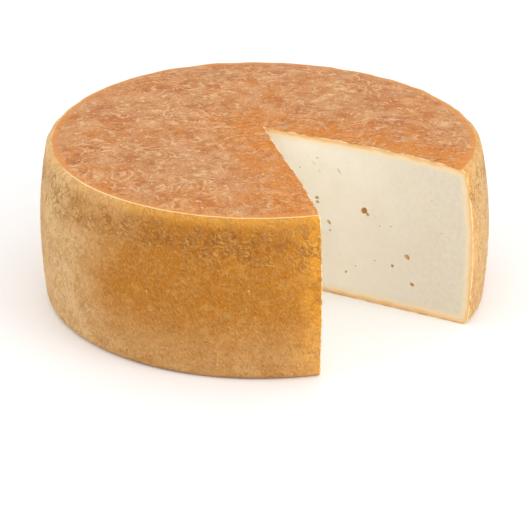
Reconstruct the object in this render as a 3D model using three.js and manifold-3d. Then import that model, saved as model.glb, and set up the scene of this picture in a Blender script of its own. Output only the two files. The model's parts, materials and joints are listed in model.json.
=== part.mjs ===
// An aged goat cheese: a low pressed wheel with a dry, wrinkled natural rind, from which one wedge
// has been cut. It is one solid, flat underneath, with a rounded rim, a belly that sags below the
// middle of its height, and a few small eyes opened by the knife in the two cut faces.
// Millimetres, +Z up. The origin is on the surface that the wheel rests on, below its middle.

import * as THREE from 'three';
import { mergeVertices } from 'three/addons/utils/BufferGeometryUtils.js';
import Module from 'manifold-3d';

const wasm = await Module();
wasm.setup();

// The pressed wheel
const diameter = 280;
const height = 105;
const bellyHeight = 0.42 * height; // the widest level of the side
const topInset = 7.0; // how far the side has leaned in where the rim begins
const baseInset = 2.5; // the same at the foot
const rimRound = 4.7; // the rim's radius, seen in section
const footRound = 5;
const dishDepth = 1.5; // the top is a little sunken in the middle
const crestRadius = 85; // and highest on a ring this far out
const shoulderDrop = 2.2; // from that ring to where the rim begins

// What hands, cloth and shelf leave uneven
const outOfRound = [ // waves round the wheel, how far they swing its radius, and their phase
	[ 2, 0.79, 0.98 ],
	[ 3, 1.44, 0.68 ],
	[ 5, 0.35, 2.0 ]
];
const lean = new THREE.Vector2( - 0.9, - 1.1 ); // sideways shift from foot to top
const lumpHeight = 0.25;
const lumpSpan = 34;

// The cut: where the two knife strokes meet, and which way each runs from there
const cutTip = new THREE.Vector2( - 0.1, 8.2 );
const farCutAngle = THREE.MathUtils.degToRad( - 29.3 ); // its face looks out to the front
const nearCutAngle = THREE.MathUtils.degToRad( - 76.5 ); // its face looks to the right

// The eyes: [along the cut from its tip, height, length, width, slant in degrees]
const farEyes = [
	[ 71.2, 61.3, 5.0, 4.4, 20 ],
	[ 73.6, 59.3, 2.8, 2.2, - 40 ],
	[ 38.2, 63.2, 3.4, 2.2, 20 ],
	[ 38.6, 60.4, 2.8, 1.8, 10 ],
	[ 47.0, 48.4, 4.0, 2.2, - 50 ],
	[ 101.4, 36.5, 4.0, 3.0, - 30 ],
	[ 91.4, 28.4, 2.6, 2.3, 0 ]
];
const hiddenFarEyes = 2; // where the photograph doesn't show the face
const nearEyes = 8;
const eyeLength = [ 2.4, 5.0 ];
const eyeFromRind = 14; // no eye opens nearer to the rind than this

// Facets
const turnSteps = 120;
const sideSteps = 9;
const roundSteps = 5;
const topSteps = 12;
const eyeSides = 10;

const radius = diameter / 2;

// A repeatable random draw from 0 to 1.
function draws( seed ) {

	let state = seed;
	return () => {

		state = ( state * 16807 ) % 2147483647;
		return state / 2147483647;

	};

}

// The radius of the side at a height, before the rim and the foot are rounded off.
function sideRadius( z ) {

	const above = ( z - bellyHeight ) / ( height - bellyHeight );
	const below = ( bellyHeight - z ) / bellyHeight;
	return radius - ( z > bellyHeight ? topInset * above ** 2 : baseInset * below ** 2 );

}

// How steeply the side leans in at a height, as an angle from upright.
function sideLean( z ) {

	const step = 0.1;
	return Math.atan( ( sideRadius( z - step ) - sideRadius( z + step ) ) / ( 2 * step ) );

}

// The level of the top at a distance from the axis, out to where the rim begins.
function topLevel( r, rimStart ) {

	const inside = 1 - ( r / crestRadius ) ** 2;
	const outside = ( r - crestRadius ) / ( rimStart - crestRadius );
	return height - ( r < crestRadius ? dishDepth * inside ** 2 : shoulderDrop * outside ** 2 );

}

// Half the wheel's section, from the middle of the underside round to the middle of the top.
function section() {

	const points = [ new THREE.Vector2( 0, 0 ) ];

	const footLean = sideLean( footRound );
	const footCentre = sideRadius( footRound ) - footRound;
	for ( let i = 0; i <= roundSteps; i ++ ) {

		const angle = THREE.MathUtils.lerp( - Math.PI / 2, footLean, i / roundSteps );
		points.push( new THREE.Vector2( footCentre + footRound * Math.cos( angle ), footRound + footRound * Math.sin( angle ) ) );

	}

	const rimLow = height - shoulderDrop - rimRound;
	for ( let i = 1; i <= sideSteps; i ++ ) {

		const z = THREE.MathUtils.lerp( footRound, rimLow, i / sideSteps );
		points.push( new THREE.Vector2( sideRadius( z ), z ) );

	}

	const rimLean = sideLean( rimLow );
	const rimCentre = new THREE.Vector2( sideRadius( rimLow ), rimLow ).sub(
		new THREE.Vector2( Math.cos( rimLean ), Math.sin( rimLean ) ).multiplyScalar( rimRound ) );
	for ( let i = 1; i <= roundSteps; i ++ ) {

		const angle = THREE.MathUtils.lerp( rimLean, Math.PI / 2, i / roundSteps );
		points.push( new THREE.Vector2( rimCentre.x + rimRound * Math.cos( angle ), rimCentre.y + rimRound * Math.sin( angle ) ) );

	}

	const rimTop = rimCentre.y + rimRound;
	const join = rimTop - topLevel( rimCentre.x, rimCentre.x );
	for ( let i = 1; i <= topSteps; i ++ ) {

		const r = rimCentre.x * ( 1 - i / topSteps );
		points.push( new THREE.Vector2( r, topLevel( r, rimCentre.x ) + join * ( r / rimCentre.x ) ** 2 ) );

	}

	return points;

}

// A low swell of the surface, the same at each place every time.
function lump( x, y, z ) {

	const k = 2 * Math.PI / lumpSpan;
	const across = Math.sin( k * ( x + 0.4 * y ) + 1.3 ) * Math.sin( k * ( 0.9 * y - 0.3 * x ) + 0.4 );
	const over = Math.sin( k * 1.7 * ( 0.6 * x - y + z ) ) * Math.sin( k * 1.3 * ( z - 0.5 * x ) + 2.1 );
	return lumpHeight * ( 0.7 * across + 0.5 * over );

}

// Moves one point of the true wheel to where the uneven wheel has it. The underside stays flat.
function uneven( point ) {

	const angle = Math.atan2( point.y, point.x );
	const r = Math.hypot( point.x, point.y );
	const rise = point.z / height;
	const swing = outOfRound.reduce( ( sum, [ waves, most, phase ] ) =>
		sum + most * Math.cos( waves * angle + phase ), 0 );
	const swell = lump( point.x, point.y, point.z ) * Math.min( 1, point.z / footRound );
	const grown = r + ( swing + swell ) * r / radius;
	point.x = grown * Math.cos( angle ) + lean.x * rise;
	point.y = grown * Math.sin( angle ) + lean.y * rise;
	point.z += swell * rise ** 3;
	return point;

}

// A closed three.js geometry as a solid that can be cut.
function solid( geometry ) {

	geometry.deleteAttribute( 'normal' );
	geometry.deleteAttribute( 'uv' );
	const merged = mergeVertices( geometry, 1e-4 );
	return new wasm.Manifold( new wasm.Mesh( {
		numProp: 3,
		vertProperties: merged.attributes.position.array,
		triVerts: new Uint32Array( merged.index.array )
	} ) );

}

// The whole wheel, before it is cut.
function wheelSolid() {

	const geometry = new THREE.LatheGeometry( section(), turnSteps );
	geometry.rotateX( Math.PI / 2 );
	const places = geometry.attributes.position;
	const point = new THREE.Vector3();
	for ( let i = 0; i < places.count; i ++ ) {

		uneven( point.fromBufferAttribute( places, i ) );
		places.setXYZ( i, point.x, point.y, point.z );

	}

	return solid( geometry );

}

// The wedge that the two knife strokes take out, a little taller than the wheel.
function wedgeSolid() {

	const reach = 2 * radius;
	const outline = new THREE.Shape();
	outline.moveTo( cutTip.x, cutTip.y );
	for ( const angle of [ nearCutAngle, farCutAngle ] )
		outline.lineTo( cutTip.x + reach * Math.cos( angle ), cutTip.y + reach * Math.sin( angle ) );
	outline.closePath();
	const geometry = new THREE.ExtrudeGeometry( outline, { depth: 2 * height, bevelEnabled: false } );
	geometry.translate( 0, 0, - height / 2 );
	return solid( geometry );

}

// One eye as a flattened ball, half sunk in the cut face that runs at this angle.
function eyeSolid( angle, side, [ along, level, length, width, slant ] ) {

	const geometry = new THREE.SphereGeometry( 0.5, eyeSides, eyeSides - 2 );
	geometry.scale( length, width, width );
	geometry.rotateZ( THREE.MathUtils.degToRad( slant ) );
	const run = new THREE.Vector3( Math.cos( angle ), Math.sin( angle ), 0 );
	const up = new THREE.Vector3( 0, 0, 1 );
	const inward = new THREE.Vector3().crossVectors( up, run ).multiplyScalar( side );
	geometry.applyMatrix4( new THREE.Matrix4().makeBasis( run, up, new THREE.Vector3().crossVectors( run, up ) ) );
	const centre = new THREE.Vector3( cutTip.x, cutTip.y, 0 )
		.addScaledVector( run, along ).addScaledVector( up, level ).addScaledVector( inward, 0.15 * width );
	geometry.translate( centre.x, centre.y, centre.z );
	return solid( geometry );

}

// Eyes for the stretches of face that nothing shows, between two distances from the tip.
function drawnEyes( count, seed, nearest, furthest, lowest, highest ) {

	const draw = draws( seed );
	const between = ( low, high ) => THREE.MathUtils.lerp( low, high, draw() );
	return Array.from( { length: count }, ( _, i ) => {

		const length = between( ...eyeLength );
		const along = THREE.MathUtils.lerp( nearest, furthest, ( i + draw() ) / count );
		return [ along, between( lowest, highest ), length, length * between( 0.6, 0.95 ), between( - 60, 60 ) ];

	} );

}

function cheeseGeometry() {

	let cheese = wheelSolid().subtract( wedgeSolid() );
	const farthest = radius - eyeFromRind;
	const far = [ ...farEyes, ...drawnEyes( hiddenFarEyes, 11, 40, farthest, eyeFromRind, 24 ) ];
	const near = drawnEyes( nearEyes, 29, 24, farthest, eyeFromRind + 4, height - 2 * eyeFromRind );
	for ( const eye of far ) cheese = cheese.subtract( eyeSolid( farCutAngle, 1, eye ) );
	for ( const eye of near ) cheese = cheese.subtract( eyeSolid( nearCutAngle, - 1, eye ) );

	const mesh = cheese.getMesh();
	const geometry = new THREE.BufferGeometry();
	geometry.setAttribute( 'position', new THREE.BufferAttribute( mesh.vertProperties, 3 ) );
	geometry.setIndex( new THREE.BufferAttribute( mesh.triVerts, 1 ) );
	geometry.computeBoundingBox();
	const middle = geometry.boundingBox.getCenter( new THREE.Vector3() );
	geometry.translate( - middle.x, - middle.y, 0 );
	geometry.computeVertexNormals();
	return geometry;

}

const rind = new THREE.MeshStandardMaterial( { color: 0xcf9558, roughness: 0.75, metalness: 0 } );
const cheese = new THREE.Mesh( cheeseGeometry(), rind );
cheese.name = 'cheese_wheel';

const group = new THREE.Group();
group.add( cheese );

export default group;
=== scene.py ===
"""An aged goat cheese: a low pressed wheel with a dry, wrinkled rind and one wedge cut out.

The paste and the rind's top, sides and underside are closed pieces that share their edges.
"""

import json
import math

import bpy
import numpy as np
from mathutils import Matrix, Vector

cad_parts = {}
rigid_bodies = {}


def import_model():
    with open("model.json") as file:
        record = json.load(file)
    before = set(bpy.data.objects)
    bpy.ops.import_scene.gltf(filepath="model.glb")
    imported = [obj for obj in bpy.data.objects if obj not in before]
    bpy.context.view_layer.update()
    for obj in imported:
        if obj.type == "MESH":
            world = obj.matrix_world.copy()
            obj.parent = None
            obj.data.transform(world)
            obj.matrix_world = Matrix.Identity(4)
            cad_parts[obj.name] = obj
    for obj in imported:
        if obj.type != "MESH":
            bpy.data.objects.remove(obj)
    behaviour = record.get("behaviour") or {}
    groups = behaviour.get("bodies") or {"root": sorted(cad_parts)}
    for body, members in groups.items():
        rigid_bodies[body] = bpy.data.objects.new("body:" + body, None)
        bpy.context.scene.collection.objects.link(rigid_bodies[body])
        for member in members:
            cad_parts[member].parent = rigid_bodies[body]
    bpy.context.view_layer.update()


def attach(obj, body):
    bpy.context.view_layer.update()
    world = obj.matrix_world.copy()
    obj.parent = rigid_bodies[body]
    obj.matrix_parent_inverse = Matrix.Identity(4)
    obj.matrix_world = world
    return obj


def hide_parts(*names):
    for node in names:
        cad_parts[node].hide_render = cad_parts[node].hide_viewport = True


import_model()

# The paste
# Curd pressed in a mould and aged until it is firm and ivory. It shows in the two faces that the
# knife left, where it turns amber towards the rind and has a few small eyes, pinholes and slits.

mm = 0.001
diameter, height = 280 * mm, 105 * mm
radius = diameter / 2
belly_height = 0.42 * height
top_inset, base_inset = 7 * mm, 2.5 * mm
rim_round, foot_round = 4.7 * mm, 5 * mm
dish_depth, crest_radius, shoulder_drop = 1.5 * mm, 85 * mm, 2.2 * mm
out_of_round = ((2, 0.79 * mm, 0.98), (3, 1.44 * mm, 0.68), (5, 0.35 * mm, 2.0))
lean = np.array([-0.9, -1.1]) * mm
lump_height, lump_span = 0.25 * mm, 34 * mm
cut_tip = np.array([-0.1, 8.2]) * mm
far_cut, near_cut = math.radians(-29.3), math.radians(360 - 76.5)
room = 0.4 * mm  # kept under the full size of the wheel for its wrinkles
rind_thickness = 2.2 * mm

cell = 0.72 * mm  # the finest facets
hidden_steps = 36  # round the wheel where nothing shows

# The eyes: along the cut from its tip, height, length, width (all mm) and slant in degrees
far_eyes = [
    [71.2, 61.3, 5.0, 4.4, 20],
    [73.6, 59.3, 2.8, 2.2, -40],
    [38.2, 63.2, 3.4, 2.2, 20],
    [38.6, 60.4, 2.8, 1.8, 10],
    [47.0, 48.4, 4.0, 2.2, -50],
    [101.4, 36.5, 4.0, 3.0, -30],
    [91.4, 28.4, 2.6, 2.3, 0],
]
hidden_far_eyes, near_eyes = 2, 8
eye_length, eye_from_rind = (2.4, 5.0), 14

# Along the cut, height and size, and for the slits their width and slant too
pinholes = [
    [47.8, 42.9, 1.5],
    [65.9, 22.5, 1.2],
    [79.3, 29.2, 1.4],
    [38.1, 89.8, 1.3],
    [26.1, 81.1, 1.3],
    [59.7, 90.6, 1.0],
    [117.1, 77.3, 1.0],
    [112.8, 70.4, 1.0],
    [119.9, 75.2, 0.9],
    [124.1, 57.2, 1.2],
    [121.4, 52.4, 1.0],
    [82.2, 53.3, 1.3],
    [90.0, 54.6, 1.2],
    [54.5, 27.5, 1.0],
]
slits = [[53.5, 83.8, 4.6, 0.9, -52], [35.8, 86.0, 3.6, 0.7, -38], [39.9, 81.6, 2.6, 0.7, -48]]
near_pinhole_count = 16
far_eyes_seed, near_eyes_seed, pinholes_seed = 11, 29, 53


def side_radius(z):
    """The radius of the side at a height, before the rim and the foot are rounded off."""
    above = (z - belly_height) / (height - belly_height)
    below = (belly_height - z) / belly_height
    return radius - np.where(z > belly_height, top_inset * above**2, base_inset * below**2)


def side_lean(z):
    """How steeply the side leans in at a height, as an angle from upright."""
    step = 0.1 * mm
    return math.atan((side_radius(z - step) - side_radius(z + step)) / (2 * step))


def section():
    """From the foot's inner end, up the side, to the rim's inner end: radius, height and facing."""

    def spaced(first, last, length):
        return np.linspace(first, last, round(length / cell) + 1)

    foot_lean = side_lean(foot_round)
    foot_angles = spaced(-math.pi / 2, foot_lean, foot_round * (math.pi / 2 + foot_lean))
    foot_r = side_radius(foot_round) + foot_round * (np.cos(foot_angles) - 1)
    foot_z = foot_round + foot_round * np.sin(foot_angles)
    rim_low = height - shoulder_drop - rim_round
    levels = spaced(foot_round, rim_low, rim_low - foot_round)[1:]
    leans = np.array([side_lean(level) for level in levels])
    rim_lean = leans[-1]
    rim_angles = spaced(rim_lean, math.pi / 2, rim_round * (math.pi / 2 - rim_lean))[1:]
    rim_r = side_radius(rim_low) + rim_round * (np.cos(rim_angles) - math.cos(rim_lean))
    rim_z = rim_low + rim_round * (np.sin(rim_angles) - math.sin(rim_lean))
    return (
        np.concatenate([foot_r, side_radius(levels), rim_r]),
        np.concatenate([foot_z, levels, rim_z]),
        np.concatenate([foot_angles, leans, rim_angles]),
    )


profile = section()
rim_end, rim_top = profile[0][-1], profile[1][-1]


def top_level(r):
    """The level of the top at a distance from the axis, out to where the rim begins."""
    inside = 1 - (r / crest_radius) ** 2
    outside = (r - crest_radius) / (rim_end - crest_radius)
    level = height - np.where(r < crest_radius, dish_depth * inside**2, shoulder_drop * outside**2)
    return level + (rim_top - height + shoulder_drop) * (r / rim_end) ** 2


def lump(x, y, z):
    """A low swell of the surface."""
    k = 2 * math.pi / lump_span
    across = np.sin(k * (x + 0.4 * y) + 1.3) * np.sin(k * (0.9 * y - 0.3 * x) + 0.4)
    over = np.sin(k * 1.7 * (0.6 * x - y + z)) * np.sin(k * 1.3 * (z - 0.5 * x) + 2.1)
    return lump_height * (0.7 * across + 0.5 * over)


def swing(angle):
    """How far out of round the wheel is on one side."""
    return sum(size * np.cos(waves * angle + shift) for waves, size, shift in out_of_round)


def side_places(rows, turns, depth):
    """Points of the side at a depth, on rays from the cut's tip, and the way out from each."""
    r, z, facing = (line[rows][:, None] for line in profile)
    rise = z / height
    freedom = np.clip(1 + np.sin(facing), 0, 1)  # none underneath, where the wheel lies flat
    under = depth + room * freedom
    inner_r, inner_z = r - under * np.cos(facing), z - under * np.sin(facing)
    way = np.stack([np.cos(turns), np.sin(turns)], -1)[None]
    start = (cut_tip - lean * rise)[:, None]
    along = (start * way).sum(-1)
    reach = inner_r + 0 * turns
    for _ in range(8):
        place = start + reach[..., None] * way
        angle = np.arctan2(place[..., 1], place[..., 0])
        swell = lump(r * np.cos(angle), r * np.sin(angle), z) * np.minimum(1, z / foot_round)
        grown = inner_r + (swing(angle) + swell) * inner_r / radius
        reach = np.sqrt(along**2 - (start**2).sum(-1) + grown**2) - along
    place = cut_tip + reach[..., None] * way
    out = np.cos(facing) * np.cos(angle), np.cos(facing) * np.sin(angle), np.sin(facing) + 0 * angle
    return np.dstack([place, inner_z + swell * rise**3]), np.stack(out, -1) * freedom[..., None]


def top_places(share, turns, depth):
    """One ring of the top, at a share of the way from the cut's tip to the rim."""
    rim = side_places([-1], turns, depth)[0][0]
    place = cut_tip + share * (rim[:, :2] - cut_tip)
    level = np.full(len(turns), height)
    for _ in range(3):
        own = place - lean * (level / height)[:, None]
        angle, far = np.arctan2(own[:, 1], own[:, 0]), np.hypot(own[:, 0], own[:, 1])
        swell = lump(own[:, 0], own[:, 1], level)
        level = top_level(np.minimum(far / (1 + (swing(angle) + swell) / radius), rim_end))
    level = level + swell * (level / height) ** 3 - depth - room
    joined = np.clip((share - 0.97) / 0.03, 0, 1)  # the ring at the rim is the side's own
    return np.column_stack([place, level + (rim[:, 2] - level) * joined])


def base_places(share, turns, depth):
    """One ring of the underside, at a share of the way from the cut's tip to the foot."""
    foot = side_places([0], turns, depth)[0][0]
    place = cut_tip + share * (foot[:, :2] - cut_tip)
    return np.column_stack([place, foot[:, 2]])


whole = side_places(np.arange(len(profile[0])), np.linspace(far_cut, near_cut, 721), -room)[0]
corners = np.vstack([whole.reshape(-1, 3), [[*cut_tip, 0]]])
middle = np.append((corners.min(0) + corners.max(0))[:2] / 2, 0)  # the wheel is centred by its box


def rind_depth(places):
    """How deep points of the wheel lie under its skin."""
    x, y, z = (places + middle).T
    x, y = x - lean[0] * z / height, y - lean[1] * z / height
    angle, far = np.arctan2(y, x), np.hypot(x, y)
    swell = lump(x, y, z)
    to_side = side_radius(z) * (1 + (swing(angle) + swell) / radius) - far
    depth = to_side
    to_top = top_level(np.minimum(far, rim_end)) + swell - z
    for to_flat, bend in ((to_top, rim_round), (z, foot_round)):
        sharp = np.minimum(to_side, to_flat)
        corner = bend - np.hypot(np.maximum(bend - to_side, 0), np.maximum(bend - to_flat, 0))
        depth = np.minimum(depth, np.where(sharp < bend, corner, sharp))
    return depth - room


def from_line(places, start, turn, length=2 * radius):
    """How far points of the wheel lie, seen from above, from a line, and how far along it."""
    own = (places + middle)[:, :2] - start
    way = np.array([math.cos(turn), math.sin(turn)])
    along = np.clip(own @ way, 0, length)
    return np.linalg.norm(own - along[:, None] * way, axis=1), along


def from_cut(places):
    """How far points of the wheel lie from the nearer of its two cuts."""
    return np.minimum(*[from_line(places, cut_tip, turn)[0] for turn in (far_cut, near_cut)])


def keep(mesh, name, values):
    """Stores a number or a direction for each point of a mesh."""
    kind, field = ("FLOAT", "value") if values.ndim == 1 else ("FLOAT_VECTOR", "vector")
    made = mesh.attributes.new(name, kind, "POINT")
    made.data.foreach_set(field, values.astype(np.float32).ravel())


def read_places(mesh):
    """The places of a mesh's points, one row each."""
    places = np.empty(len(mesh.vertices) * 3, np.float32)
    mesh.vertices.foreach_get("co", places)
    return places.reshape(-1, 3).astype(float)


def new_object(name, points, faces):
    """A mesh object in the row's frame."""
    mesh = bpy.data.meshes.new(name)
    mesh.from_pydata((points - middle).tolist(), [], faces)
    made = bpy.data.objects.new(name, mesh)
    bpy.context.scene.collection.objects.link(made)
    return made


def applied(piece, modifier):
    """Turns what a modifier makes of a piece into its own mesh."""
    bpy.context.view_layer.update()
    result = piece.evaluated_get(bpy.context.evaluated_depsgraph_get())
    old = piece.data
    piece.data = bpy.data.meshes.new_from_object(result)
    piece.modifiers.remove(modifier)
    bpy.data.meshes.remove(old)


columns = round(np.hypot(*(side_places([-1], np.array([far_cut]), 0)[0][0, 0, :2] - cut_tip)) / cell)
shares = np.linspace(0, 1, columns + 1)
rows = np.arange(len(profile[0]))
hidden_turns = np.linspace(far_cut, near_cut, hidden_steps + 1)


def cut_face(turn):
    """The paste's face along one cut, as a grid of points from the tip out and from the base up."""
    turn = np.array([turn])
    side = side_places(rows, turn, rind_thickness)[0][:, 0]
    top = np.array([top_places(share, turn, rind_thickness)[0] for share in shares])
    base = np.array([base_places(share, turn, rind_thickness)[0] for share in shares])
    steps = np.linalg.norm(np.diff(side, axis=0), axis=1)
    up = np.append(0, np.cumsum(steps)) / steps.sum()
    tip = base[0] + (top[0] - base[0]) * up[:, None]
    s, v = shares[:, None, None], up[None, :, None]
    across = (1 - s) * tip[None] + s * side[None]
    rising = (1 - v) * base[:, None] + v * top[:, None]
    bilinear = (1 - s) * ((1 - v) * base[0] + v * top[0]) + s * ((1 - v) * base[-1] + v * top[-1])
    return across + rising - bilinear


def paste_mesh():
    """The paste as one closed mesh: two fine cut faces, and coarse surfaces under the rind."""
    far, near = cut_face(far_cut), cut_face(near_cut)
    wide, tall = far.shape[:2]
    far_numbers = np.arange(wide * tall).reshape(wide, tall)
    near_numbers = np.vstack([far_numbers[:1], far_numbers[1:] + (wide - 1) * tall])
    points = [far.reshape(-1, 3), near[1:].reshape(-1, 3)]
    faces = []
    for grid, step in ((far_numbers, 1), (near_numbers, -1)):
        quads = np.stack([grid[:-1, :-1], grid[1:, :-1], grid[1:, 1:], grid[:-1, 1:]], -1)
        faces += quads.reshape(-1, 4)[:, ::step].tolist()

    def outline(grid):
        return np.concatenate([grid[:, 0], grid[-1, 1:-1], grid[::-1, -1]])

    count = (2 * wide - 1) * tall
    rings = [outline(far_numbers)]
    for turn in hidden_turns[1:-1]:
        turn = np.array([turn])
        base = [base_places(share, turn, rind_thickness)[0] for share in shares[1:]]
        side = side_places(rows[1:-1], turn, rind_thickness)[0][:, 0]
        top = [top_places(share, turn, rind_thickness)[0] for share in shares[:0:-1]]
        ring = np.array([*base, *side, *top])
        points.append(ring)
        numbers = np.arange(len(ring)) + count
        rings.append(np.concatenate([far_numbers[:1, 0], numbers, far_numbers[:1, -1]]))
        count += len(ring)
    rings.append(outline(near_numbers))
    for a, b in zip(rings, rings[1:]):
        for quad in zip(a[:-1].tolist(), b[:-1].tolist(), b[1:].tolist(), a[1:].tolist()):
            faces.append(tuple(dict.fromkeys(quad)))
    return np.concatenate(points), faces


def draws(seed):
    """Repeatable random draws from 0 to 1."""
    state = seed
    while True:
        state = state * 16807 % 2147483647
        yield state / 2147483647


def drawn_eyes(count, seed, nearest, furthest, lowest, highest):
    """Eyes for a stretch of face where none has a place of its own."""
    draw = draws(seed)
    eyes = []
    for i in range(count):
        length = eye_length[0] + (eye_length[1] - eye_length[0]) * next(draw)
        along = nearest + (furthest - nearest) * (i + next(draw)) / count
        level = lowest + (highest - lowest) * next(draw)
        eyes.append([along, level, length, length * (0.6 + 0.35 * next(draw)), 120 * next(draw) - 60])
    return eyes


def eye_cutter(number, turn, side, along, level, length, width, slant):
    """A lumpy ball, half sunk in a cut face, that the paste is hollowed with."""
    steps = 12 if length < 1.6 else 28  # round it, fewer for a pinhole
    bands = steps // 2 - 1
    ups = np.linspace(0, math.pi, bands + 2)[1:-1, None]
    rounds = np.linspace(0, 2 * math.pi, steps + 1)[None, :-1]
    poleward = np.cos(ups) + 0 * rounds
    ball = np.dstack([np.sin(ups) * np.cos(rounds), np.sin(ups) * np.sin(rounds), poleward])
    ball = np.vstack([ball.reshape(-1, 3), [[0, 0, 1], [0, 0, -1]]])
    x, y, z = ball.T
    uneven = 1 + 0.09 * np.sin(3.1 * x + number) * np.sin(2.7 * y - 2 * number)
    uneven += 0.05 * np.sin(5 * z + 3 * number)
    x, y, z = (ball * uneven[:, None] * np.array([length, width, width]) / 2 * mm).T
    tilt = math.radians(slant)
    run, rise = x * math.cos(tilt) - y * math.sin(tilt), x * math.sin(tilt) + y * math.cos(tilt)
    way = np.array([math.cos(turn), math.sin(turn), 0])
    inward = np.array([-way[1], way[0], 0]) * side
    places = np.append(cut_tip, 0) + way * (along * mm + run)[:, None]
    places += [0, 0, 1] * (level * mm + rise)[:, None] + inward * (0.15 * width * mm + z)[:, None]
    grid = np.arange(bands * steps).reshape(bands, steps).tolist()
    top, bottom = bands * steps, bands * steps + 1
    faces = []
    for j in range(steps):
        k = (j + 1) % steps
        faces += [(a[j], b[j], b[k], a[k]) for a, b in zip(grid, grid[1:])]
        faces += [(top, grid[0][j], grid[0][k]), (bottom, grid[-1][k], grid[-1][j])]
    if side > 0:
        faces = [face[::-1] for face in faces]
    return new_object(f"eye_{number}", places, faces)


paste_points, paste_faces = paste_mesh()
paste = new_object("paste", paste_points, paste_faces)

furthest = radius / mm - eye_from_rind
highest = height / mm - 2 * eye_from_rind
far_pits = far_eyes + drawn_eyes(hidden_far_eyes, far_eyes_seed, 40, furthest, eye_from_rind, 24)
near_pits = drawn_eyes(near_eyes, near_eyes_seed, 24, furthest, eye_from_rind + 4, highest)
draw = draws(pinholes_seed)
near_pinholes = []
for _ in range(near_pinhole_count):
    near_pinholes.append([20 + 100 * next(draw), 12 + 80 * next(draw), 0.9 + 0.7 * next(draw)])
far_pits += slits + [[along, level, size, size * 0.8, 30] for along, level, size in pinholes]
near_pits += [[along, level, size, size * 0.8, 30] for along, level, size in near_pinholes]
cutters = bpy.data.collections.new("eyes")
bpy.context.scene.collection.children.link(cutters)
for turn, side, pits in ((far_cut, 1, far_pits), (near_cut, -1, near_pits)):
    for pit in pits:
        cutter = eye_cutter(len(cutters.objects), turn, side, *pit)
        bpy.context.scene.collection.objects.unlink(cutter)
        cutters.objects.link(cutter)
hollow = paste.modifiers.new("eyes", "BOOLEAN")
hollow.operation, hollow.solver = "DIFFERENCE", "MANIFOLD"
hollow.operand_type, hollow.collection = "COLLECTION", cutters
applied(paste, hollow)
for cutter in list(cutters.objects):
    bpy.data.objects.remove(cutter)
bpy.data.collections.remove(cutters)


def lay_out(piece, corners):
    """Lays a piece's faces out flat, as a pattern for its finish, with a place for each corner."""
    flat = piece.data.uv_layers.new(name="OFBake")
    margin = 1.5 * mm
    low = corners.min(0) - margin
    span = (corners.max(0) + margin - low).max()
    flat.data.foreach_set("uv", ((corners - low) / span).astype(np.float32).ravel())


def corner_numbers(mesh):
    """For each corner of a mesh, the numbers of its point and of its face."""
    points, sizes = np.empty(len(mesh.loops), np.int32), np.empty(len(mesh.polygons), np.int32)
    mesh.loops.foreach_get("vertex_index", points)
    mesh.polygons.foreach_get("loop_total", sizes)
    return points, np.repeat(np.arange(len(sizes)), sizes)


def face_means(values, faces):
    """The mean over each face of its corners' values, given back for each corner."""
    return (np.bincount(faces, values) / np.bincount(faces))[faces]


paste_places = read_places(paste.data)
paste_depth = rind_depth(paste_places)
far_gap, far_along = from_line(paste_places, cut_tip, far_cut)
near_gap, near_along = from_line(paste_places, cut_tip, near_cut)
cut_along = np.where(far_gap < near_gap, far_along, -near_along)
keep(paste.data, "pressed", paste_places)
keep(paste.data, "depth", paste_depth)
keep(paste.data, "sunk", np.minimum(far_gap, near_gap))
keep(paste.data, "unrolled", np.column_stack([cut_along, paste_places[:, 2], 0 * cut_along]))


def paste_pattern():
    """The paste laid out flat, with a place for each corner of its faces.

    The two cut faces lie as they are, with the eyes squeezed into their openings. Beside them, at
    half size, lie the turns of the surface under the rind.
    """
    points, faces = corner_numbers(paste.data)
    far_mean, near_mean = face_means(far_gap[points], faces), face_means(near_gap[points], faces)
    inner = paste_depth > rind_thickness + mm
    on_a_cut = np.minimum(far_mean, near_mean) < 0.001 * mm
    cut_corners = (face_means(inner[points] * 1.0, faces) > 0) | on_a_cut
    own = (paste_places + middle)[:, :2] - cut_tip
    reach, turns = np.hypot(*own.T), np.arctan2(own[:, 1], own[:, 0]) % (2 * math.pi)
    turns = np.where(turns > near_cut + 0.1, turns - 2 * math.pi, turns)[points]
    off_tip = (reach > 0.01 * mm)[points] * 1.0
    tip_turns = face_means(turns * off_tip, faces) / np.maximum(face_means(off_tip, faces), 0.1)
    turns = np.where(off_tip > 0, turns, tip_turns)
    belly = side_places([len(rows) // 2], hidden_turns, rind_thickness)[0][0, :, :2] - cut_tip
    widest = np.interp(turns, hidden_turns, np.hypot(*belly.T))
    reach, level = reach[points], paste_places[points, 2]
    around = np.where(level < height / 2, reach + level, 2 * widest + level - reach)
    corners = np.column_stack([radius + 6 * mm + (turns - far_cut) * 11 * mm, around / 2])
    for number, gap, along, pits, mine in (
        (0, far_gap, far_along, far_pits, cut_corners & (far_mean < near_mean)),
        (1, near_gap, near_along, near_pits, cut_corners & (far_mean >= near_mean)),
    ):
        here = np.column_stack([along, paste_places[:, 2]])
        centres, sizes = np.array(pits)[:, :2] * mm, np.array(pits)[:, 2:4].mean(1) * mm
        nearest = (np.linalg.norm(here[:, None] - centres, axis=2) / sizes).argmin(1)
        squeeze = 1 - 0.45 * inner * np.minimum(gap / sizes[nearest], 1)
        here = centres[nearest] + (here - centres[nearest]) * squeeze[:, None]
        corners[mine] = here[points[mine]] + [0, number * (height + 4 * mm)]
    return corners


lay_out(paste, paste_pattern())


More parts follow.
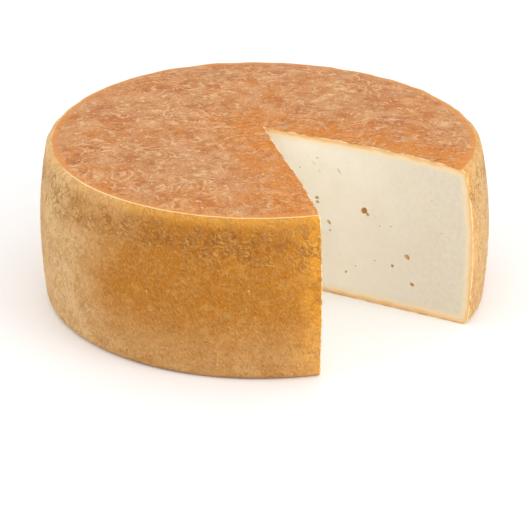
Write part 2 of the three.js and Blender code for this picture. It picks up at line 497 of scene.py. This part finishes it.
class Field:
    """What one socket gives all over a surface, used as a number or a colour in sums."""

    def __init__(self, tree, socket=None):
        self.tree = tree
        self.socket = socket

    def node(self, kind, settings=None, sockets=None, output=0):
        """Adds a node, sets it, fills or links its sockets, and gives one of its outputs."""
        made = self.tree.nodes.new(kind)
        for name, value in (settings or {}).items():
            setattr(made, name, value)
        for name, value in (sockets or {}).items():
            if isinstance(value, Field):
                self.tree.links.new(value.socket, made.inputs[name])
            else:
                made.inputs[name].default_value = value
        return Field(self.tree, made.outputs[output] if made.outputs else None)

    def maths(self, operation, *values):
        return self.node("ShaderNodeMath", {"operation": operation}, dict(enumerate(values)))

    def vector(self, operation, other, output=0):
        return self.node("ShaderNodeVectorMath", {"operation": operation}, {0: self, 1: other}, output)

    def __add__(self, other):
        return self.maths("ADD", self, other)

    def __sub__(self, other):
        return self.maths("SUBTRACT", self, other)

    def __rsub__(self, other):
        return self.maths("SUBTRACT", other, self)

    def __mul__(self, other):
        return self.maths("MULTIPLY", self, other)

    def __truediv__(self, other):
        return self.maths("DIVIDE", self, other)

    __radd__ = __add__
    __rmul__ = __mul__

    def step(self, low, high):
        """0 below low, 1 above high, and a smooth change between them."""
        sockets = {"Value": self, "From Min": low, "From Max": high}
        return self.node("ShaderNodeMapRange", {"interpolation_type": "SMOOTHSTEP"}, sockets)

    def grain(self, span, detail=2.0, rough=0.5, shift=0.0):
        """A cloudy pattern at this place, about 0.5 on average, with clouds of a size."""
        moved = self.vector("ADD", (shift, shift, shift))
        sockets = {"Vector": moved, "Scale": 1 / span, "Detail": detail, "Roughness": rough}
        return self.node("ShaderNodeTexNoise", {}, sockets)

    def bent(self, span, amount, shift=0.0):
        """This place, pushed about by up to an amount."""
        moved = self.vector("ADD", (shift, shift, shift))
        sockets = {"Vector": moved, "Scale": 1 / span, "Detail": 1.0}
        push = self.node("ShaderNodeTexNoise", {}, sockets, "Color").vector("SUBTRACT", (0.5, 0.5, 0.5))
        push = self.node("ShaderNodeVectorMath", {"operation": "SCALE"}, {0: push, "Scale": 4 * amount})
        return self.vector("ADD", push)

    def dots(self, span, size, shift=0.0):
        """1 in scattered dots of about a size, one for each square of a span, and 0 between."""
        moved = self.vector("ADD", (shift, shift, shift))
        near = self.node("ShaderNodeTexVoronoi", {}, {"Vector": moved, "Scale": 1 / span}, "Distance")
        return 1 - near.step(0.35 * size / span, 0.65 * size / span)

    def lines(self, span, width, shift=0.0):
        """1 along thin crooked lines about a span apart, and 0 between."""
        cloud = self.bent(0.6 * span, 0.1 * span, shift).grain(1.6 * span, 2.0, 0.55, shift) - 0.5
        return 1 - cloud.maths("ABSOLUTE", cloud).step(0.0, 0.55 * width / span)

    def under(self, colour, share):
        """This colour with another laid over it, with a share that may change."""
        return self.node("ShaderNodeMix", {"data_type": "RGBA"}, {0: share, 6: self, 7: colour}, 2)


def tone(red, green, blue):
    """A colour as it is read off a screen, 0 to 255, in the linear values that shaders use."""
    shares = [value / 255 for value in (red, green, blue)]
    return (*[s / 12.92 if s <= 0.04045 else ((s + 0.055) / 1.055) ** 2.4 for s in shares], 1)


def attribute(tree, name):
    """What a piece's points remember under a name."""
    start = Field(tree)
    vector = name in ("pressed", "outward", "unrolled")
    if tree.type == "SHADER":
        return start.node("ShaderNodeAttribute", {"attribute_name": name}, {}, "Vector" if vector else "Fac")
    kind = "FLOAT_VECTOR" if vector else "FLOAT"
    return start.node("GeometryNodeInputNamedAttribute", {"data_type": kind}, {"Name": name})


def ground(tree, colour):
    """A colour that is the same everywhere, to lay others over."""
    made = Field(tree).node("ShaderNodeRGB")
    made.socket.default_value = colour
    return made


def finish(name, make):
    """A material whose shader is set by a recipe."""
    material = bpy.data.materials.new(name)
    material.use_nodes = True
    make(material.node_tree, material.node_tree.nodes["Principled BSDF"])
    return material


def join(shader, socket, field):
    """Feeds one of a shader's sockets."""
    field.tree.links.new(field.socket, shader.inputs[socket])


def bumped(shader, bumps):
    """Tilts a shader's surface by fine bumps, given in millimetres."""
    sockets = {"Height": bumps, "Distance": mm, "Strength": 1.0}
    join(shader, "Normal", bumps.node("ShaderNodeBump", {}, sockets, "Normal"))


def slanted(laid, slant, stretch):
    """A place on a face laid flat, turned to a slant in degrees and stretched along it."""
    c, s = math.cos(math.radians(slant)), math.sin(math.radians(slant))
    along = laid.vector("DOT_PRODUCT", (c, s, 0), "Value")
    over = laid.vector("DOT_PRODUCT", (-s, c, 0), "Value")
    return laid.node("ShaderNodeCombineXYZ", {}, {0: along / stretch, 1: over})


def amber_band(tree, below, depth):
    """Paste colours from the rind inward: amber, then straw, then as it is below."""
    place = attribute(tree, "pressed")
    uneven = (place.grain(9 * mm, 2.0, 0.5, 0.3) - 0.5) * (2.4 * mm)
    depth = depth + uneven * depth.step(0.0, 2 * mm)
    colour = below.under(tone(244, 216, 170), (1 - depth.step(1.5 * mm, 7.5 * mm)) * 0.75)
    return colour.under(tone(232, 178, 100), (1 - depth.step(0.7 * mm, 3.4 * mm)) * 0.85)


def paste_finish(tree, shader):
    place, laid = attribute(tree, "pressed"), attribute(tree, "unrolled")
    clouds = place.grain(16 * mm, 3.0, 0.55).step(0.32, 0.68)
    curds = place.grain(2.6 * mm, 2.0, 0.6, 0.11).step(0.35, 0.65)
    colour = ground(tree, tone(240, 233, 218)).under(tone(244, 238, 225), clouds)
    # Darker outward from the axis: partly the paste's own colour, partly painted light, brighter by the
    # cut's tip and darker towards the rind
    outward = place.vector("MULTIPLY", (1, 1, 0)).vector("LENGTH", (0, 0, 0), "Value")
    colour = colour.under(tone(208, 196, 174), outward.step(20 * mm, 135 * mm) * 0.86)
    colour = colour.under(tone(240, 228, 204), curds * 0.2)
    marks = slanted(laid, -52, 6).grain(0.8 * mm, 1.0).step(0.62, 0.76)
    marks = marks * place.grain(17 * mm, 1.0, 0.5, 0.6).step(0.48, 0.62)
    colour = colour.under(tone(216, 200, 168), marks * 0.35)
    colour = amber_band(tree, colour, attribute(tree, "depth"))
    sunk = attribute(tree, "sunk")
    # Eyes lined ochre, darker deeper in: partly their own colour, partly painted shade in the hollows
    colour = colour.under(tone(226, 190, 126), sunk.step(0.1 * mm, 0.6 * mm) * 0.85)
    colour = colour.under(tone(208, 160, 84), sunk.step(0.7 * mm, 2.6 * mm))
    join(shader, "Base Color", colour)
    join(shader, "Roughness", 0.42 + 0.12 * curds)
    bumped(shader, place.grain(1.4 * mm, 2.0, 0.6, 0.5) * 0.06 + curds * 0.03 - marks * 0.05)
    shader.inputs["Subsurface Weight"].default_value = 0.35
    shader.inputs["Subsurface Radius"].default_value = (1.0, 0.75, 0.45)
    shader.inputs["Subsurface Scale"].default_value = 1.5 * mm
    shader.inputs["IOR"].default_value = 1.4


def placed(piece, finish):
    """Gives a piece its finish, smooth but for its sharp edges, and its place on the wheel."""
    piece.data.materials.clear()
    piece.data.materials.append(finish)
    piece.data.polygons.foreach_set("material_index", np.zeros(len(piece.data.polygons), np.int32))
    piece.data.shade_smooth()
    piece.data.set_sharp_from_angle(angle=math.radians(55))
    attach(piece, "root")
    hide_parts("cheese_wheel")


placed(paste, finish("paste", paste_finish))

# The rind's sides
# The paste's own skin, dried and rubbed with oil as it aged: golden ochre, finely wrinkled on the
# slant, darker below the rim. It is one layer with the top, made here in two lengths.

side_steps = round((near_cut - far_cut) * rim_end / cell / 2) * 2


def stitch(first, second):
    """Triangles between two rows of point numbers, side by side, whose counts may differ."""
    faces = []
    i, j, last_i, last_j = 0, 0, len(first) - 1, len(second) - 1
    while i < last_i or j < last_j:
        if j == last_j or (i < last_i and (i + 0.5) * last_j <= (j + 0.5) * last_i):
            faces.append((first[i], first[i + 1], second[j]))
            i += 1
        else:
            faces.append((first[i], second[j + 1], second[j]))
            j += 1
    return faces


def rind_piece(name, outer, inner, outward, facts):
    """A closed layer of rind from rows of points on its skin and on its lining.

    Gives the piece, and the numbers of the faces from which its lining and then its edges start.
    """
    points = np.vstack([*outer, *inner])
    starts = np.cumsum([0, *map(len, outer), *map(len, inner)])
    numbers = [np.arange(a, b).tolist() for a, b in zip(starts, starts[1:])]
    skin, lining = numbers[: len(outer)], numbers[len(outer) :]
    faces = []
    for a, b in zip(skin, skin[1:]):
        faces += stitch(a, b)
    lining_start = len(faces)
    for a, b in zip(lining, lining[1:]):
        faces += stitch(b, a)
    edge_start = len(faces)
    for k in range(len(skin) - 1):
        faces.append((skin[k][0], skin[k + 1][0], lining[k + 1][0], lining[k][0]))
        faces.append((lining[k][-1], lining[k + 1][-1], skin[k + 1][-1], skin[k][-1]))
    faces += stitch(lining[0], skin[0]) + stitch(skin[-1], lining[-1])
    piece = new_object(name, points, faces)
    lining_count = len(points) - len(outward)
    keep(piece.data, "pressed", points - middle)
    keep(piece.data, "outward", np.vstack([outward, np.zeros((lining_count, 3))]))
    keep(piece.data, "depth", np.append(np.zeros(len(outward)), np.full(lining_count, rind_thickness)))
    keep(piece.data, "from_cut", from_cut(points - middle))
    for fact, values in facts.items():
        keep(piece.data, fact, values)
    return piece, lining_start, edge_start


def wrinkled(piece, recipe):
    """Raises a piece's skin by a recipe, in metres, along the way out from it."""
    tree = bpy.data.node_groups.new("wrinkles", "GeometryNodeTree")
    tree.interface.new_socket("Geometry", in_out="INPUT", socket_type="NodeSocketGeometry")
    tree.interface.new_socket("Geometry", in_out="OUTPUT", socket_type="NodeSocketGeometry")
    start = Field(tree)
    before = start.node("NodeGroupInput")
    sockets = {0: attribute(tree, "outward"), "Scale": recipe(tree)}
    raised = start.node("ShaderNodeVectorMath", {"operation": "SCALE"}, sockets)
    moved = start.node("GeometryNodeSetPosition", {}, {"Geometry": before, "Offset": raised})
    start.node("NodeGroupOutput", {}, {"Geometry": moved}, None)
    modifier = piece.modifiers.new("wrinkles", "NODES")
    modifier.node_group = tree
    applied(piece, modifier)
    bpy.data.node_groups.remove(tree)


def rim_crest(tree):
    """The thin crest where the side turns into the top."""
    off = attribute(tree, "from_rim") - 1.1 * mm
    return 1 - off.maths("ABSOLUTE", off).step(0.2 * mm, 1.2 * mm)


def torn_edge(tree):
    """The ragged line that the knife leaves along a cut, here and there worn away."""
    place = attribute(tree, "pressed")
    ragged = place.grain(2.4 * mm, 2.0, 0.6, 0.9) * (1.6 * mm) - 0.9 * mm
    left = place.grain(7 * mm, 2.0, 0.6, 0.25).step(0.36, 0.6)
    return (1 - (attribute(tree, "from_cut") + ragged).step(0.2 * mm, 0.7 * mm)) * left


def side_wrinkles(place):
    """The side's raised wrinkles, and the furrows beside them."""
    marked = place.grain(9 * mm, 2.0, 0.6, 0.4).step(0.34, 0.56)
    raised = place.lines(2.9 * mm, 0.6 * mm, 0.2) * marked
    return raised, place.lines(2.9 * mm, 0.6 * mm, 0.2 + 0.5 * mm) * marked


def side_fibres(tree):
    """The fine slanted grain that the cloth and the brush have left on the side."""
    return slanted(attribute(tree, "unrolled"), -62, 2.2).grain(1.1 * mm, 3.0, 0.6)


def pores(place):
    """Small pits, here and there, never quite round."""
    return place.bent(1.2 * mm, 0.12 * mm).dots(10 * mm, 1.2 * mm, 0.8)


def side_relief(tree):
    place = attribute(tree, "pressed")
    free = attribute(tree, "from_rim").step(0.0, 5 * mm)
    off_rim = attribute(tree, "from_rim").step(0.0, 25 * mm)
    broad = (place.grain(22 * mm, 2.0) - 0.5) * (off_rim * 0.9 + 0.1)
    raised, furrows = side_wrinkles(place)
    fibres = side_fibres(tree) - 0.5
    height = free * (fibres * 0.3 + raised * 0.12 - furrows * 0.12 - pores(place) * 0.4) + broad * 0.4
    return (height + rim_crest(tree) * 0.12 - torn_edge(tree) * 0.1) * mm


def skin_to_section(tree, skin):
    """The rind's colours on its skin, and amber where the knife shows its thickness."""
    depth = attribute(tree, "depth")
    section = amber_band(tree, ground(tree, tone(246, 234, 212)), depth)
    # Cream along the knife's edge: crumbled rind, partly a painted highlight on the edge
    torn_and_highlit = skin.under(tone(255, 232, 186), torn_edge(tree) * 0.8)
    return torn_and_highlit.under(section, depth.step(0.1 * mm, 0.7 * mm))


def ripeness_and_sheen(place):
    """Where the side is darker: most of all in front and higher up, and in patches elsewhere. The patches
    are ripening; the paler left, right and lower side is partly painted sheen from the lamps and painted
    light bounced from the floor.
    """
    forward = place.node("ShaderNodeSeparateXYZ", {}, {"Vector": place}, "Y")
    wavy = forward + (place.grain(40 * mm, 2.0, 0.5, 0.5) - 0.5) * (60 * mm)
    level = place.node("ShaderNodeSeparateXYZ", {}, {"Vector": place}, "Z")
    front = (1 - wavy.step(-120 * mm, -70 * mm)) * (level.step(5 * mm, 50 * mm) * 0.5 + 0.5)
    patches = place.grain(75 * mm, 2.0, 0.5, 0.15).step(0.47, 0.64) * 0.4
    return front.maths("MAXIMUM", front, patches)


def rim_front_highlight(place):
    """1 on the front of the rim, where a cream line is painted: partly wear on the crest, partly a painted
    highlight, faded towards the back.
    """
    forward = place.node("ShaderNodeSeparateXYZ", {}, {"Vector": place}, "Y")
    return 1 - (forward + (place.grain(20 * mm) - 0.5) * (20 * mm)).step(-85 * mm, -40 * mm)


def side_finish(tree, shader):
    place = attribute(tree, "pressed")
    from_rim = attribute(tree, "from_rim")
    # Darker in front, paler at the sides and low down: partly the rind's own colour, partly painted sheen
    # and painted floor light
    darker_front = ripeness_and_sheen(place)
    fibres = side_fibres(tree)
    fine = place.grain(0.9 * mm, 2.0, 0.6, 0.6)
    raised, furrows = side_wrinkles(place)
    colour = ground(tree, tone(212, 177, 126)).under(tone(176, 108, 16), darker_front)
    mottled = place.grain(14 * mm, 3.0, 0.6, 0.7).step(0.46, 0.66)
    colour = colour.under(tone(172, 108, 34), mottled * (0.25 + 0.25 * darker_front))
    colour = colour.under(tone(160, 98, 32), place.grain(3.6 * mm, 3.0, 0.65, 0.75).step(0.5, 0.66) * 0.4)
    colour = colour.under(tone(216, 164, 88), place.grain(7 * mm, 3.0, 0.65, 0.05).step(0.5, 0.66) * 0.3)
    off_belt = from_rim + (place.grain(12 * mm) - 0.5) * (22 * mm) - 19 * mm
    belt = 1 - off_belt.maths("ABSOLUTE", off_belt).step(0.0, 14 * mm)
    dark = place.grain(6 * mm, 3.0, 0.65, 0.33).step(0.38, 0.6) * belt * (darker_front * 0.75 + 0.15)
    colour = colour.under(tone(142, 80, 20), dark * 0.9)
    golden = 1 - (from_rim + (fine - 0.5) * (6 * mm)).step(2 * mm, 11 * mm)
    colour = colour.under(ground(tree, tone(232, 190, 132)).under(tone(224, 158, 66), darker_front), golden * 0.75)
    # Brighter and more orange near the cuts: partly the rind's own colour, partly painted light from the
    # right-hand lamp
    by_the_cut = (1 - attribute(tree, "from_cut").step(2 * mm, 24 * mm)) * place.grain(9 * mm).step(0.26, 0.56)
    colour = colour.under(ground(tree, tone(222, 172, 108)).under(tone(228, 154, 40), darker_front), by_the_cut * 0.8)
    colour = colour.under(tone(222, 174, 102), fibres.step(0.5, 0.68) * 0.3)
    colour = colour.under(tone(150, 94, 36), (1 - fibres.step(0.32, 0.5)) * 0.25)
    colour = colour.under(tone(140, 86, 30), (1 - fine.step(0.3, 0.5)) * 0.4)
    colour = colour.under(tone(228, 178, 98), raised * (0.2 + 0.25 * belt))
    # Painted shade in the furrows beside the raised wrinkles
    colour = colour.under(tone(130, 76, 22), furrows * (0.3 + 0.4 * belt))
    colour = colour.under(tone(120, 74, 26), pores(place) * 0.75)
    specks = place.bent(1.2 * mm, 0.1 * mm).dots(17 * mm, 0.9 * mm, 0.35)
    colour = colour.under(tone(248, 220, 172), specks * 0.7)
    # Darker along the foot: painted contact shadow where the wheel meets the floor
    foot = from_rim.step(110 * mm, 117 * mm)
    colour = colour.under(tone(150, 96, 44), foot * 0.5)
    wavy = from_rim + (place.grain(4 * mm, 2.0, 0.5, 0.44) - 0.5) * (0.8 * mm)
    # A cream line along the rim's crest, on the front only: partly wear, partly a painted highlight
    cream_highlight_and_wear = (1 - wavy.step(1.0 * mm, 1.6 * mm)) * rim_front_highlight(place)
    colour = colour.under(tone(255, 228, 178), cream_highlight_and_wear * 0.7)
    colour = colour.under(tone(214, 142, 72), (1 - wavy.step(0.2 * mm, 0.7 * mm)) * 0.6)
    join(shader, "Base Color", skin_to_section(tree, colour))
    join(shader, "Roughness", 0.56 + 0.2 * fine)
    wrinkles = raised * 0.12 - furrows * 0.12
    bumped(shader, place.grain(0.7 * mm, 2.0, 0.6, 0.5) * 0.12 + fine * 0.12 + wrinkles)
    shader.inputs["Specular IOR Level"].default_value = 0.2


def rind_pattern(piece, skin, lining, edge, lining_start, edge_start, fold=None):
    """Lays a piece of rind out, with its edges unfolded beside the skin and its lining small."""
    points, faces = corner_numbers(piece.data)
    flat = np.vstack([skin, edge])
    corners = flat[points]
    if fold:
        corners = fold(corners, face_means(corners[:, 0], faces))
    inside = (faces >= lining_start) & (faces < edge_start)
    corners[inside] = lining[points[inside] - len(skin)]
    lay_out(piece, corners)


rind_side_finish = finish("rind_side", side_finish)
profile_steps = np.hypot(np.diff(profile[0]), np.diff(profile[1]))
climb = np.append(0, np.cumsum(profile_steps))
half = (far_cut + near_cut) / 2
half_length = (half - far_cut) * radius


def fold_in_two(corners, means):
    """Lays the second half of a long strip above the first."""
    above = corners + [-half_length / 2, climb[-1] + 8 * mm]
    return np.where((means > half_length / 2)[:, None], above, corners)


for name, first, last in (("rind_side_right", far_cut, half), ("rind_side_left", half, near_cut)):
    skin_turns = np.linspace(first, last, side_steps // 2 + 1)
    lining_turns = np.linspace(first, last, hidden_steps // 2 + 1)
    skin, outward = side_places(rows, skin_turns, 0)
    lining, _ = side_places(rows, lining_turns, rind_thickness)
    laid = []
    for turns in (skin_turns, lining_turns):
        ups, arcs = np.meshgrid(climb, (turns - far_cut) * radius, indexing="ij")
        laid.append(np.column_stack([arcs.ravel(), ups.ravel()]))
    every = np.vstack(laid)
    facts = {"from_rim": climb[-1] - every[:, 1], "unrolled": np.column_stack([every, 0 * every[:, 0]])}
    outward = outward.reshape(-1, 3)
    side, lining_start, edge_start = rind_piece(name, list(skin), list(lining), outward, facts)
    flat_skin, flat_lining = (places - [(first - far_cut) * radius, 0] for places in laid)
    outermost = [(flat_lining[:, k] > flat_lining[:, k].max() - 1e-6) * 1.0 for k in (0, 1)]
    innermost = [(flat_lining[:, k] < flat_lining[:, k].min() + 1e-6) * 1.0 for k in (0, 1)]
    flat_edge = flat_lining + rind_thickness * np.column_stack([a - b for a, b in zip(outermost, innermost)])
    small = flat_lining * 0.14 + [half_length / 2 + 6 * mm, 0]
    rind_pattern(side, flat_skin, small, flat_edge, lining_start, edge_start, fold_in_two)
    wrinkled(side, side_relief)
    placed(side, rind_side_finish)

# The rind's top
# The face that lay uppermost on its shelf: a paler, pinkish brown, covered in small curled wrinkles
# whose pale crests are partly a whitish bloom and partly a painted highlight, with painted shade in
# the furrows. The first knife stroke ran a little past the cut's tip.

stroke_turn, stroke_length = math.radians(112.6), 25 * mm


def top_wrinkles(place):
    """The top's long and short wrinkles, and the furrows beside them."""
    marked = place.grain(22 * mm, 2.0, 0.6, 0.7).step(0.46, 0.66)
    broken = place.grain(5 * mm, 2.0, 0.6, 0.2).step(0.42, 0.64)
    raised, furrows = [], []
    for span, width, shift, share in ((8 * mm, 1.1 * mm, 0.1, marked), (4.2 * mm, 0.7 * mm, 0.5, broken)):
        raised.append(place.lines(span, width, shift) * share * broken)
        furrows.append(place.lines(span, width, shift + 0.8 * width) * share)
    cloud = place.bent(4 * mm, 0.6 * mm, 0.3).bent(14 * mm, 2 * mm, 0.9).grain(24 * mm, 1.0, 0.4, 0.6)
    folded = place.grain(26 * mm, 2.0, 0.5, 0.15).step(0.46, 0.6)
    for kept, ahead in ((raised, 0.0), (furrows, 2.2)):
        turned = cloud * (2 * math.pi * 9) + ahead
        folds = (turned.maths("SINE", turned) * 0.5 + 0.5).step(0.6, 1.0)
        kept.append(folds * folded * (broken * 0.7 + 0.3))
    most = raised[0].maths("MAXIMUM", *raised[:2])
    deepest = furrows[0].maths("MAXIMUM", *furrows[:2])
    return most.maths("MAXIMUM", most, raised[2]), deepest.maths("MAXIMUM", deepest, furrows[2])


def overrun(tree):
    """The shallow slit that the knife left beyond the cut's tip."""
    ragged = (attribute(tree, "pressed").grain(3 * mm, 2.0, 0.6, 0.5) - 0.5) * (2 * mm)
    return 1 - (attribute(tree, "from_stroke") + ragged).step(0.3 * mm, 1.0 * mm)


def top_relief(tree):
    place = attribute(tree, "pressed")
    from_rim = attribute(tree, "from_rim")
    broad = (place.grain(22 * mm, 2.0) - 0.5) * (from_rim.step(0.0, 30 * mm) * 0.3 + 0.1)
    fine = place.grain(1.6 * mm, 2.0, 0.6, 0.6) - 0.5
    raised, furrows = top_wrinkles(place)
    height = from_rim.step(0.0, 4 * mm) * (raised * 0.16 - furrows * 0.14 + fine * 0.3)
    return (height + broad - overrun(tree) * 0.4 - torn_edge(tree) * 0.1) * mm


def top_finish(tree, shader):
    place = attribute(tree, "pressed")
    from_rim = attribute(tree, "from_rim")
    broad = place.grain(38 * mm, 3.0, 0.6, 0.4)
    fine = place.grain(1.6 * mm, 2.0, 0.65, 0.6)
    raised, furrows = top_wrinkles(place)
    colour = ground(tree, tone(192, 120, 54)).under(tone(190, 132, 80), broad.step(0.42, 0.58))
    colour = colour.under(tone(170, 92, 34), place.grain(10 * mm, 3.0, 0.65, 0.3).step(0.46, 0.64) * 0.7)
    by_the_cut = (1 - attribute(tree, "from_cut").step(6 * mm, 46 * mm)) * place.grain(16 * mm).step(0.26, 0.52)
    colour = colour.under(tone(204, 120, 20), by_the_cut * 0.95)
    bloom = place.grain(17 * mm, 4.0, 0.6, 0.85).step(0.42, 0.68) * (1 - by_the_cut * 0.7)
    colour = colour.under(tone(216, 164, 114), bloom * 0.65)
    # Painted shade in the furrows, and pale crests: partly a whitish bloom, partly a painted highlight
    colour = colour.under(tone(150, 80, 28), furrows * 0.6)
    colour = colour.under(tone(240, 200, 152), raised * (0.62 - 0.25 * by_the_cut))
    colour = colour.under(tone(154, 86, 34), (1 - fine.step(0.3, 0.5)) * 0.5)
    colour = colour.under(tone(230, 178, 124), fine.step(0.52, 0.7) * 0.35)
    flecks = place.bent(4 * mm, 1.2 * mm, 0.1).grain(2.6 * mm, 2.0, 0.6, 0.95).step(0.64, 0.78)
    colour = colour.under(tone(248, 220, 188), flecks * 0.3)
    wavy = from_rim + (place.grain(6 * mm, 2.0, 0.5, 0.44) - 0.5) * (4 * mm)
    colour = colour.under(tone(214, 138, 66), (1 - wavy.step(1.5 * mm, 5 * mm)) * 0.6)
    colour = colour.under(tone(248, 218, 180), overrun(tree) * 0.75)
    join(shader, "Base Color", skin_to_section(tree, colour))
    join(shader, "Roughness", 0.56 + 0.2 * fine)
    bumped(shader, place.grain(0.7 * mm, 2.0, 0.6, 0.5) * 0.14 + raised * 0.15 - furrows * 0.12)
    shader.inputs["Specular IOR Level"].default_value = 0.25


def ring_turns(share, most):
    """Angles for one ring of a flat face, with as many steps as its length needs."""
    if share == 0:
        return np.array([far_cut])
    return np.linspace(far_cut, near_cut, max(2, round(share * most)) + 1)


def flat_piece(name, places, order, most, way):
    """The rind's top or underside, from rings about the cut's tip, laid out as it is."""
    skin = [places(share, ring_turns(share, most(share)), 0) for share in order]
    lining = [places(share, hidden_turns if share else hidden_turns[:1], rind_thickness) for share in order]
    in_from_rim = [(1 - share) * rim_end for share in order] * 2
    from_rim = np.repeat(in_from_rim, [len(ring) for ring in skin + lining])
    all_places = np.vstack(skin + lining) - middle
    from_stroke, along_stroke = from_line(all_places, cut_tip, stroke_turn, stroke_length)
    facts = {"from_rim": from_rim, "from_stroke": from_stroke + 0.03 * along_stroke}
    outward = np.tile(way, (sum(map(len, skin)), 1))
    piece, lining_start, edge_start = rind_piece(name, skin, lining, outward, facts)

    notch = (far_cut + near_cut) / 2 - math.pi
    edges = []
    for share, ring in zip(order, lining):
        own = ring[:, :2] - cut_tip
        reach = np.hypot(*own.T)[:, None]
        if share == 0:
            own = own + 0.5 * mm * np.array([math.cos(notch), math.sin(notch)])
        else:
            own = own + own / reach * (rind_thickness if share == 1 else 0)
            for end, turn, side in ((0, far_cut, -1), (-1, near_cut, 1)):
                off = side * min(rind_thickness, 0.4 * reach[end, 0])
                own[end] += off * np.array([-math.sin(turn), math.cos(turn)])
        edges.append(own + cut_tip)
    small = np.vstack(lining)[:, :2] * 0.11 - 0.86 * rim_end
    rind_pattern(piece, np.vstack(skin)[:, :2], small, np.vstack(edges), lining_start, edge_start)
    return piece


def top_count(share):
    return share * side_steps


top = flat_piece("rind_top", top_places, shares[::-1], top_count, [0.0, 0.0, 1.0])
wrinkled(top, top_relief)
placed(top, finish("rind_top", top_finish))

# The rind's underside
# The face that the wheel rested on: flat, with the same skin as the top, and faintly printed by the
# folds of the cloth that it was pressed in.


def base_relief(tree):
    place = attribute(tree, "pressed")
    free = attribute(tree, "from_rim").step(0.0, 6 * mm)
    cloth = place.lines(4 * mm, 1.2 * mm, 0.5) * 0.12 + place.grain(1.6 * mm, 2.0, 0.6, 0.6) * 0.25
    return free * cloth * (-1 * mm)


def base_count(share):
    return side_steps if share == 1 else share * side_steps / 3


base = flat_piece("rind_base", base_places, shares, base_count, [0.0, 0.0, -1.0])
wrinkled(base, base_relief)
placed(base, finish("rind_base", top_finish))

# The floor
# A plain white table under the wheel.

floor_mesh = bpy.data.meshes.new("floor")
floor_mesh.from_pydata([(-4, -4, 0), (4, -4, 0), (4, 4, 0), (-4, 4, 0)], [], [(0, 1, 2, 3)])
floor = bpy.data.objects.new("floor", floor_mesh)
bpy.context.scene.collection.objects.link(floor)


def floor_finish(tree, shader):
    shader.inputs["Base Color"].default_value = (0.95, 0.95, 0.95, 1)
    shader.inputs["Roughness"].default_value = 0.7


floor.data.materials.append(finish("floor", floor_finish))

# The light
# A white room, one large soft lamp in front and to the right, and a weaker one on the left.

world = bpy.data.worlds.new("room")
world.use_nodes = True
world.node_tree.nodes["Background"].inputs["Color"].default_value = (1, 1, 1, 1)
world.node_tree.nodes["Background"].inputs["Strength"].default_value = 1.02
bpy.context.scene.world = world
for name, place, energy in (("lamp_right", (1.15, -0.8, 0.85), 9), ("lamp_left", (-1.2, -0.2, 0.9), 3)):
    lamp = bpy.data.lights.new(name, "AREA")
    lamp.shape, lamp.size, lamp.energy = "DISK", 1.1, energy
    lamp_object = bpy.data.objects.new(name, lamp)
    lamp_object.location = place
    lamp_object.rotation_euler = Vector(place).to_track_quat("Z", "Y").to_euler()
    bpy.context.scene.collection.objects.link(lamp_object)
bpy.context.scene.view_settings.view_transform = "Standard"

# The camera
# Far off in front, a little above the top.

sight = bpy.data.cameras.new("camera")
sight.lens, sight.sensor_width = 168.14, 36
elevation, distance = math.radians(24.61), 1.566
target = Vector((0.00028, 0, 0.01286)) - Vector(middle)
camera = bpy.data.objects.new("camera", sight)
camera.location = target + distance * Vector((0, -math.cos(elevation), math.sin(elevation)))
camera.rotation_euler = (math.pi / 2 - elevation, 0, 0)
bpy.context.scene.collection.objects.link(camera)
bpy.context.scene.camera = camera
